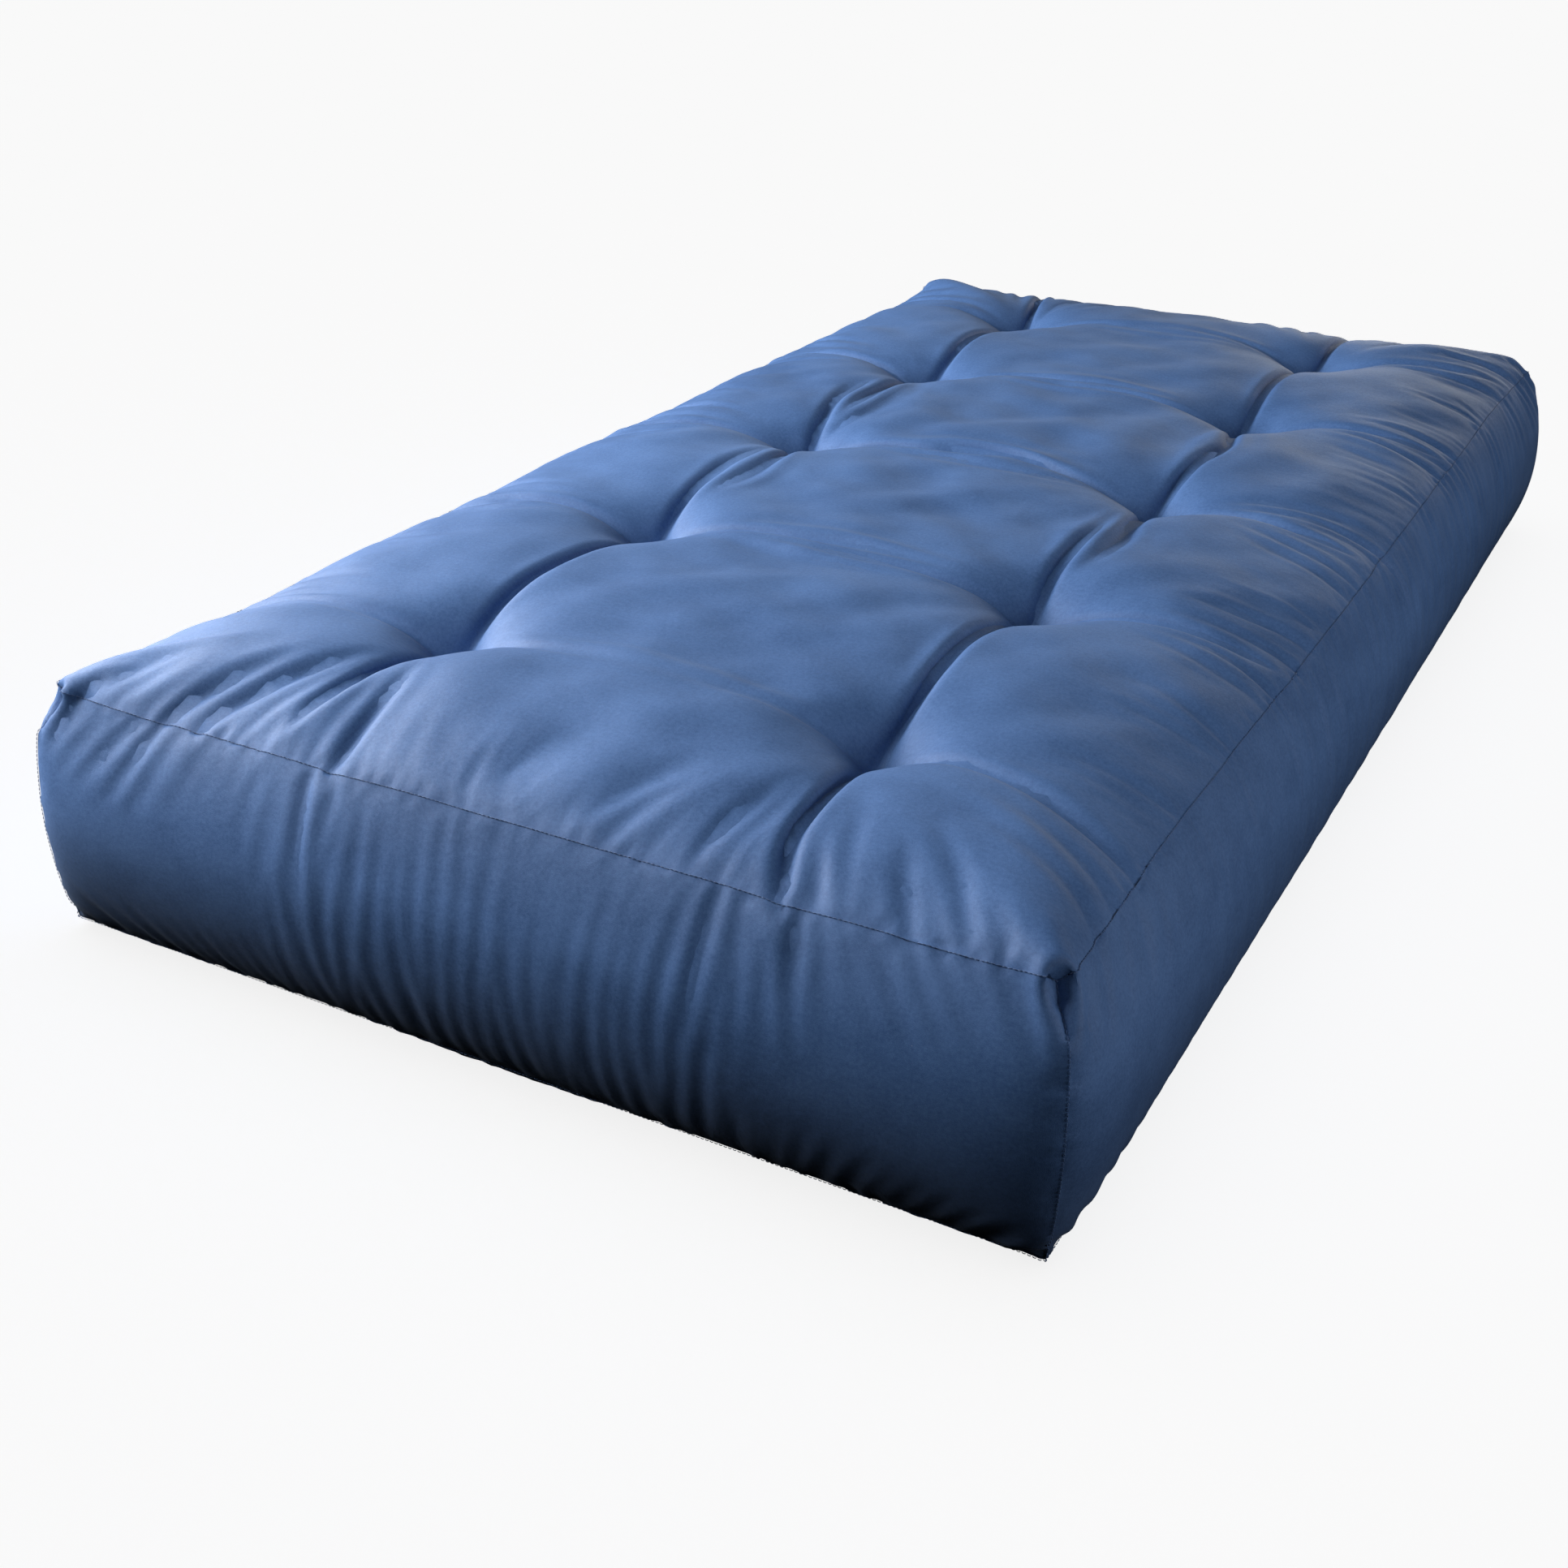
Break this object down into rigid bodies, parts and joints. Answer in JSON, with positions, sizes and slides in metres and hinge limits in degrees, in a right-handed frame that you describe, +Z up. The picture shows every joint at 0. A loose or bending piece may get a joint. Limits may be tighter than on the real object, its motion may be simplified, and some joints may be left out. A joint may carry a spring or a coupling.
{
  "type": "futon mattress",
  "caption": "Thick tufted futon mattress with a boxed, brushed-fabric cover over layered batting and foam, for sleeping or sitting on.",
  "frame": {"origin": "middle of the underside, on the surface that the mattress lies on", "axes": "+Z up out of the sleeping face, +Y along the length from the front end to the rear end, +X across the width"},
  "size_m": [0.9926, 1.9066, 0.281],
  "materials": {
    "cover_fabric": "brushed microfibre suede, mid blue, with a short soft nap that shows lighter and darker where it is stroked",
    "seam_thread": "bonded polyester sewing thread, a shade darker than the cover",
    "tufting_twine": "waxed three-ply nylon tufting twine, dark blue",
    "tuft_felt": "pressed wool felt, dark blue",
    "cotton_batting": "garnetted cotton batting, off-white with darker flecks",
    "foam": "open-cell polyurethane foam, pale cream"
  },
  "bodies": {
    "root": {"top_panel": "cover_fabric", "bottom_panel": "cover_fabric", "front_boxing": "cover_fabric", "rear_boxing": "cover_fabric", "left_boxing": "cover_fabric", "right_boxing": "cover_fabric", "bottom_cotton_batting": "cotton_batting", "lower_middle_batting": "cotton_batting", "upper_middle_batting": "cotton_batting", "top_cotton_batting": "cotton_batting", "lower_foam_sheet": "foam", "core_foam_slab": "foam", "upper_foam_sheet": "foam", "top_seam_thread": "seam_thread", "bottom_seam_thread": "seam_thread", "closing_seam_thread": "seam_thread", "front_left_corner_thread": "seam_thread", "front_right_corner_thread": "seam_thread", "rear_left_corner_thread": "seam_thread", "rear_right_corner_thread": "seam_thread", "tuft_twine_left_1": "tufting_twine", "tuft_twine_left_2": "tufting_twine", "tuft_twine_left_3": "tufting_twine", "tuft_twine_left_4": "tufting_twine", "tuft_twine_left_5": "tufting_twine", "tuft_twine_right_1": "tufting_twine", "tuft_twine_right_2": "tufting_twine", "tuft_twine_right_3": "tufting_twine", "tuft_twine_right_4": "tufting_twine", "tuft_twine_right_5": "tufting_twine", "tuft_pad_left_1": "tuft_felt", "tuft_pad_left_2": "tuft_felt", "tuft_pad_left_3": "tuft_felt", "tuft_pad_left_4": "tuft_felt", "tuft_pad_left_5": "tuft_felt", "tuft_pad_right_1": "tuft_felt", "tuft_pad_right_2": "tuft_felt", "tuft_pad_right_3": "tuft_felt", "tuft_pad_right_4": "tuft_felt", "tuft_pad_right_5": "tuft_felt"}
  },
  "joints": []
}
